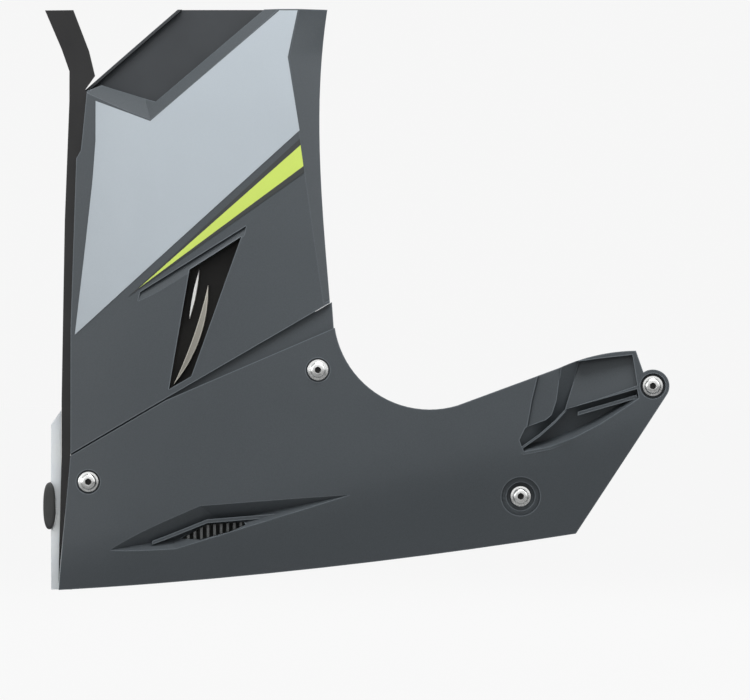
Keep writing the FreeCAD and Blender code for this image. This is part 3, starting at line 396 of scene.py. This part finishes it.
# The finish and the edge rounding in millimetres of each CAD node; the rest are zinc fasteners
DRESS = {
    "lower_cowl": (SHELL_FINISH, 0.7),
    "side_panel": (SHELL_FINISH, 0.7),
    # The silver film gets painted shade towards the front
    "silver_field": (film("silver_film", SILVER, metal=0.15, rough=0.36, front_shade=0.84), 0.08),
    "accent_stripe": (film("accent_film", ACCENT, metal=0.0, rough=0.38), 0.08),
    "stripe_border": (film("border_film", BORDER, metal=0.0, rough=0.4), 0.08),
    "air_channel_panel": (moulded("channel_plastic", CHANNEL, rough=0.55, grain=0.25), 0.4),
    "scoop_grille": (moulded("grille_plastic", GRILLE, rough=0.5, grain=0.15), 0.3),
    "front_inner_panel": (gloss("gloss_black", GLOSS, rough=0.2), 0.5),
    "vent_duct": (gloss("duct_black", DUCT, rough=0.34), 0.5),
    # Painted reflections: the vanes are coloured pale and grey to stand for bright streaks
    "vent_vane_1": (gloss("vane_highlight_pale", VANE_HIGHLIGHT_PALE, rough=0.22), 0.5),
    "vent_vane_2": (gloss("vane_grey", VANE_HIGHLIGHT_GREY, rough=0.25), 0.5),
    "front_lip": (moulded("pale_plastic", PALE, rough=0.45, grain=0.08), 0.5),
    "heat_shield": (foil(), 0.2),
    "rear_grommet": (RUBBER_FINISH, 0.25),
    "lower_grommet": (RUBBER_FINISH, 0.25),
    "middle_grommet": (RUBBER_FINISH, 0.25),
}

for name, node in NODES.items():
    finish, width = DRESS.get(name, (ZINC_FINISH, FASTENER_EDGE))
    node.data.materials.clear()
    node.data.materials.append(finish)
    soften(node, width * MM)


# Round pieces that stand for plain CAD solids
def lathe(name, centre, rings, steps):
    """A piece about a line along Y, from rings that each give a radius for an angle, and a Y."""
    build = bmesh.new()
    rows = []
    for radius, y in rings:
        row = []
        for step in range(steps):
            angle = 2 * math.pi * step / steps
            x = centre[0] + radius(angle) * math.cos(angle)
            z = centre[1] + radius(angle) * math.sin(angle)
            row.append(build.verts.new((x * MM, y * MM, z * MM)))
        rows.append(row)
    for first, second in zip(rows, rows[1:]):
        for step in range(steps):
            after = (step + 1) % steps
            build.faces.new((first[step], first[after], second[after], second[step]))
    build.faces.new(rows[0])
    build.faces.new(rows[-1])
    bmesh.ops.recalc_face_normals(build, faces=build.faces)
    mesh = bpy.data.meshes.new(name)
    build.to_mesh(mesh)
    build.free()
    piece = bpy.data.objects.new(name, mesh)
    bpy.context.scene.collection.objects.link(piece)
    return piece


def stand_in(piece, node, finish):
    """Finish a piece and show it instead of a CAD node."""
    piece.data.materials.append(finish)
    shade = piece.modifiers.new("shade", "NODES")
    shade.node_group = SMOOTH
    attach(piece, "root")
    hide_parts(node)


def corners(name):
    """The points of a CAD node in millimetres."""
    node = NODES[name]
    return [node.matrix_world @ point.co / MM for point in node.data.vertices]


def middle(points):
    """The X and the Z of the middle of some points."""
    return [(min(p[axis] for p in points) + max(p[axis] for p in points)) / 2 for axis in (0, 2)]


def plain(radius):
    return lambda angle: radius


def hexagon(flats):
    def radius(angle):
        return flats / 2 / math.cos((angle + math.pi / 6) % (math.pi / 3) - math.pi / 6)
    return radius


def oval(share):
    def radius(angle):
        across = abs(math.cos(angle)) / (BUMPER_HALF[0] * share)
        along = abs(math.sin(angle)) / (BUMPER_HALF[1] - BUMPER_HALF[0] * (1 - share))
        return (across ** BUMPER_POWER + along ** BUMPER_POWER) ** (-1 / BUMPER_POWER)
    return radius


def thread(y):
    def radius(angle):
        phase = (y / THREAD_PITCH - angle / (2 * math.pi)) % 1
        return SHANK - THREAD_DEPTH * (1 - abs(2 * phase - 1))
    return radius


def outer_screw(name):
    """A domed socket screw with a waisted shank and a cut thread on its free end."""
    points = corners(name)
    centre = middle(points)
    top = min(point.y for point in points)
    tip = max(point.y for point in points)
    around = [(math.hypot(p.x - centre[0], p.z - centre[1]), p.y) for p in points]
    waist_end = max(y for radius, y in around if abs(radius - SHANK + WAIST) < ROUND_ERROR)
    seat = top + HEAD_HEIGHT
    rings = [(hexagon(SOCKET_FLATS), top + SOCKET_DEPTH), (hexagon(SOCKET_FLATS), top + SOCKET_EDGE)]
    rings += [(hexagon(SOCKET_FLATS + 2 * SOCKET_EDGE), top)]
    rings += [(plain(radius), top + drop) for radius, drop in DOME]
    rings += [(plain(HEAD - HEAD_EDGE), seat - HEAD_RIM), (plain(HEAD), seat - HEAD_RIM + HEAD_EDGE)]
    rings += [(plain(HEAD), seat - HEAD_EDGE), (plain(HEAD - HEAD_EDGE), seat)]
    rings += [(plain(SHANK - WAIST), seat), (plain(SHANK - WAIST), waist_end)]
    turns = int((tip - TIP_CHAMFER - waist_end) / THREAD_PITCH * THREAD_STEPS)
    for turn in range(turns):
        y = waist_end + (turn + 1) * THREAD_PITCH / THREAD_STEPS
        rings.append((thread(y), y))
    rings += [(plain(SHANK - TIP_CHAMFER), tip - TIP_CHAMFER / 2), (plain(SHANK - 2 * TIP_CHAMFER), tip)]
    screw = lathe(name + "_turned", centre, rings, SCREW_STEPS)
    stand_in(screw, name, SCREW_FINISH)
    # Painted shade: the socket walls and floor get a dark steel that stands for the shade in the hex
    # socket
    screw.data.materials.append(SOCKET_SHADE_FINISH)
    for face in screw.data.polygons:
        across = math.hypot(face.center.x / MM - centre[0], face.center.z / MM - centre[1])
        inside = across < SOCKET_FLATS / 2 + SOCKET_EDGE
        face.material_index = int(inside and face.center.y / MM < seat - SOCKET_EDGE)


def bumper():
    """A rubber bumper with an oval face and a rounded front edge."""
    points = corners("lip_bumper")
    near = min(point.y for point in points)
    far = max(point.y for point in points)
    rings = [(oval(share), near + drop) for share, drop in BUMPER_FRONT] + [(oval(1.0), far)]
    piece = lathe("lip_bumper_oval", middle(points), rings, BUMPER_STEPS)
    stand_in(piece, "lip_bumper", RUBBER_FINISH)


for name in OUTER_SCREWS:
    outer_screw(name)
bumper()


# Floor: pale to the eye, with the shadow kept, and grey in what it throws back
def floor_finish():
    made = Finish("pale_floor", Roughness=0.9, Specular_IOR_Level=0.0)
    made.paint(made.mottle((FLOOR_GREY, FLOOR_GREY, FLOOR_GREY, 1.0), amount=0.01, scale=2.0))
    glow = made.node("ShaderNodeEmission")
    level = (BACKDROP - FLOOR_SHADE * FLOOR_LIT) / (1 - FLOOR_SHADE)
    glow.inputs["Color"].default_value = (level, level, level, 1.0)
    path = made.node("ShaderNodeLightPath")
    mix = made.node("ShaderNodeMixShader")
    seen = made.spread(path.outputs["Is Camera Ray"], 0, 1, 0, 1 - FLOOR_SHADE)
    made.link(seen, mix.inputs[0])
    made.link(made.shader.outputs[0], mix.inputs[1])
    made.link(glow.outputs[0], mix.inputs[2])
    made.link(mix.outputs[0], made.tree.nodes["Material Output"].inputs["Surface"])
    return made.material


bpy.ops.mesh.primitive_plane_add(size=FLOOR_SIZE, location=(0, 0, cad_low.z - FLOOR_DROP))
floor = bpy.context.object
floor.name = "floor"
floor.data.materials.append(floor_finish())


# World: soft light all round, and a pale background for what is seen or mirrored
def make_world():
    world = bpy.data.worlds.new("studio")
    world.use_nodes = True
    tree = world.node_tree
    tree.nodes.clear()
    light = tree.nodes.new("ShaderNodeBackground")
    light.inputs["Color"].default_value = (1, 1, 1, 1)
    place = tree.nodes.new("ShaderNodeTexCoord")
    parts = tree.nodes.new("ShaderNodeSeparateXYZ")
    slope = tree.nodes.new("ShaderNodeMapRange")
    limits = {"From Min": -1, "From Max": 1, "To Min": GROUND_LIGHT, "To Max": SKY_LIGHT}
    for socket, value in limits.items():
        slope.inputs[socket].default_value = value
    tree.links.new(place.outputs["Generated"], parts.inputs[0])
    tree.links.new(parts.outputs["Z"], slope.inputs["Value"])
    tree.links.new(slope.outputs["Result"], light.inputs["Strength"])
    seen = tree.nodes.new("ShaderNodeBackground")
    seen.inputs["Color"].default_value = (BACKDROP, BACKDROP, BACKDROP, 1)
    seen.inputs["Strength"].default_value = 1.0
    path = tree.nodes.new("ShaderNodeLightPath")
    factor = path.outputs["Is Camera Ray"]
    for output in ("Is Glossy Ray", "Is Transmission Ray"):
        either = tree.nodes.new("ShaderNodeMath")
        either.operation = "MAXIMUM"
        tree.links.new(factor, either.inputs[0])
        tree.links.new(path.outputs[output], either.inputs[1])
        factor = either.outputs[0]
    mix = tree.nodes.new("ShaderNodeMixShader")
    tree.links.new(factor, mix.inputs[0])
    tree.links.new(light.outputs[0], mix.inputs[1])
    tree.links.new(seen.outputs[0], mix.inputs[2])
    end = tree.nodes.new("ShaderNodeOutputWorld")
    tree.links.new(mix.outputs[0], end.inputs["Surface"])
    bpy.context.scene.world = world


make_world()
target = Vector((VIEW_CENTRE_MM[0] * MM, FACE_Y_MM * MM, VIEW_CENTRE_MM[1] * MM))


def lamp(name, place, size, power):
    """A soft lamp at a place given from the middle of the view, and turned to it."""
    data = bpy.data.lights.new(name, "AREA")
    data.shape = "RECTANGLE"
    data.size, data.size_y = size
    data.energy = power
    made = bpy.data.objects.new(name, data)
    bpy.context.scene.collection.objects.link(made)
    made.location = target + Vector(place)
    made.rotation_euler = (-Vector(place)).to_track_quat("-Z", "Y").to_euler()


lamp("key", place=(0.12, -0.62, 1.02), size=(0.9, 0.6), power=12.5)
lamp("fill", place=(-1.9, -2.4, 0.2), size=(2.0, 1.8), power=10.5)
lamp("front", place=(-2.2, -0.3, 0.25), size=(1.2, 1.2), power=10)
lamp("side", place=(1.7, -1.3, 0.9), size=(1.2, 1.2), power=4)
lamp("back", place=(0.4, 2.6, 1.8), size=(2.0, 1.4), power=52)

# Camera
distance = PIXEL_MM * VIEW_WIDTH_PIXELS * LENS_MM / SENSOR_MM * MM
camera_data = bpy.data.cameras.new("camera")
camera_data.lens = LENS_MM
camera_data.sensor_width = SENSOR_MM
camera_data.clip_end = CLIP_END
camera = bpy.data.objects.new("camera", camera_data)
bpy.context.scene.collection.objects.link(camera)
camera.location = target - Vector((0, distance, 0))
camera.rotation_euler = (math.radians(90), 0, 0)
bpy.context.scene.camera = camera
bpy.context.scene.view_settings.view_transform = "Standard"
